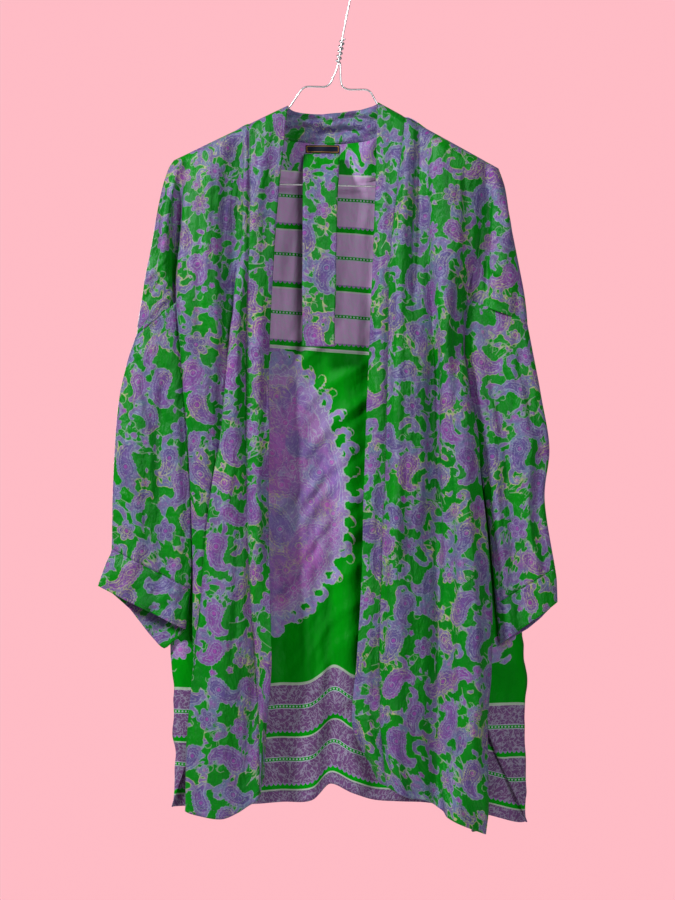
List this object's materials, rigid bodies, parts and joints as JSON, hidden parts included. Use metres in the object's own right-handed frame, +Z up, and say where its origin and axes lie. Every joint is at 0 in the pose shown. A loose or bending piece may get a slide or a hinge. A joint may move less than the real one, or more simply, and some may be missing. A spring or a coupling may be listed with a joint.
{
  "type": "short kimono on a wire hanger",
  "caption": "Open-front short kimono in printed silk, with wide dropped sleeves, cuffs, edge bands and its own belt, hung on a bent wire hanger.",
  "frame": {"origin": "inner top of the hanger's hook, where a rail or nail carries it", "axes": "+Z up, front of the kimono towards -Y, +X to the right as seen from the front"},
  "size_m": [0.5706, 0.0696, 1.073],
  "materials": {
    "printed_silk": "satin",
    "bordered_silk": "satin",
    "label_cloth": "matt",
    "wire": "satin"
  },
  "bodies": {
    "root": {"back_panel": "bordered_silk", "front_left": "printed_silk", "front_right": "printed_silk", "band_left": "printed_silk", "band_right": "printed_silk", "neck_band": "printed_silk", "sleeve_left": "printed_silk", "sleeve_right": "printed_silk", "cuff_left": "printed_silk", "cuff_right": "printed_silk", "belt": "printed_silk", "label": "label_cloth", "hanger_hook": "wire", "hanger_wrap": "wire", "hanger_arm_left": "wire", "hanger_arm_right": "wire", "hanger_bar": "wire"}
  },
  "joints": []
}
